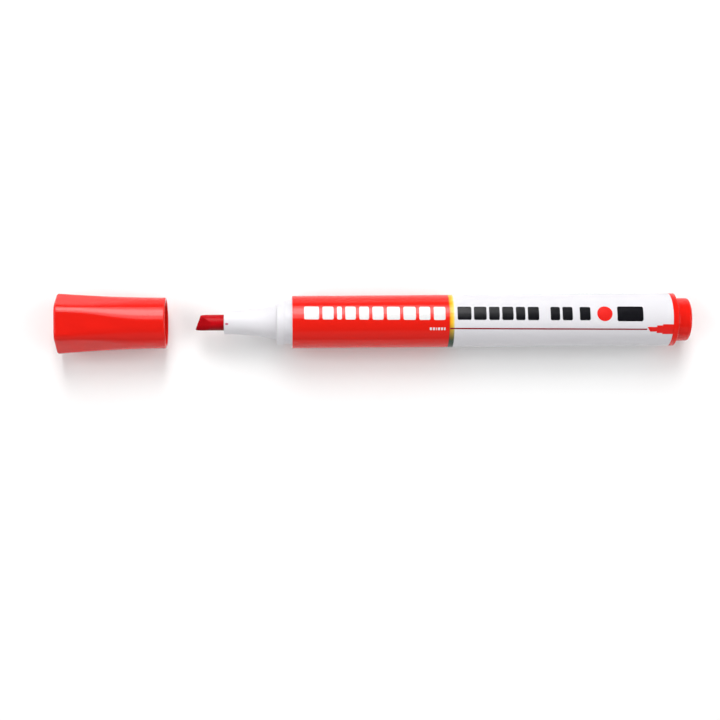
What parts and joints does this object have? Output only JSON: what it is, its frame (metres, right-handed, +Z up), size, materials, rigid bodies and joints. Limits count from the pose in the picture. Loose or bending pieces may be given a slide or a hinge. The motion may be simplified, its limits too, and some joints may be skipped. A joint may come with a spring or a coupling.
{
  "type": "whiteboard marker",
  "caption": "Round-barrelled whiteboard marker with a chisel nib, a printed sleeve, a flanged tail plug and a pull-off cap that is a rounded hexagon at its closed end.",
  "frame": {"origin": "on the pen's axis, halfway along the barrel tube, which is from the collar's shoulder to the tail plug's flange", "axes": "+X along the pen from the nib to the tail, +Z up with a flat side of the cap underneath, +Y to the left of the nib-to-tail direction"},
  "size_m": [0.1752, 0.0166, 0.0154],
  "materials": {
    "white_plastic": "moulded white polypropylene, satin",
    "red_plastic": "moulded bright red polypropylene, glossy",
    "sleeve_red": "red printed sleeve, glossy",
    "sleeve_ring": "orange-to-yellow printed ring, glossy",
    "sleeve_white": "white printed sleeve, glossy",
    "nib_fibre": "pressed fibre, wet with red ink",
    "ink_fibre": "bundled fibre soaked with red ink",
    "clear_film": "thin clear film",
    "seal_plastic": "soft natural polyethylene"
  },
  "bodies": {
    "pen": {"barrel": "white_plastic", "sleeve_front": "sleeve_red", "sleeve_ring": "sleeve_ring", "sleeve_rear": "sleeve_white", "front_section": "white_plastic", "nib": "nib_fibre", "reservoir_core": "ink_fibre", "reservoir_film": "clear_film", "tail_plug": "red_plastic"},
    "cap": {"cap_shell": "red_plastic", "cap_seal": "seal_plastic"}
  },
  "joints": [
    {"name": "cap_slide", "type": "slide", "parent": "pen", "child": "cap", "axis": [1, 0, 0], "range_m": [0, 0.0346]}
  ]
}
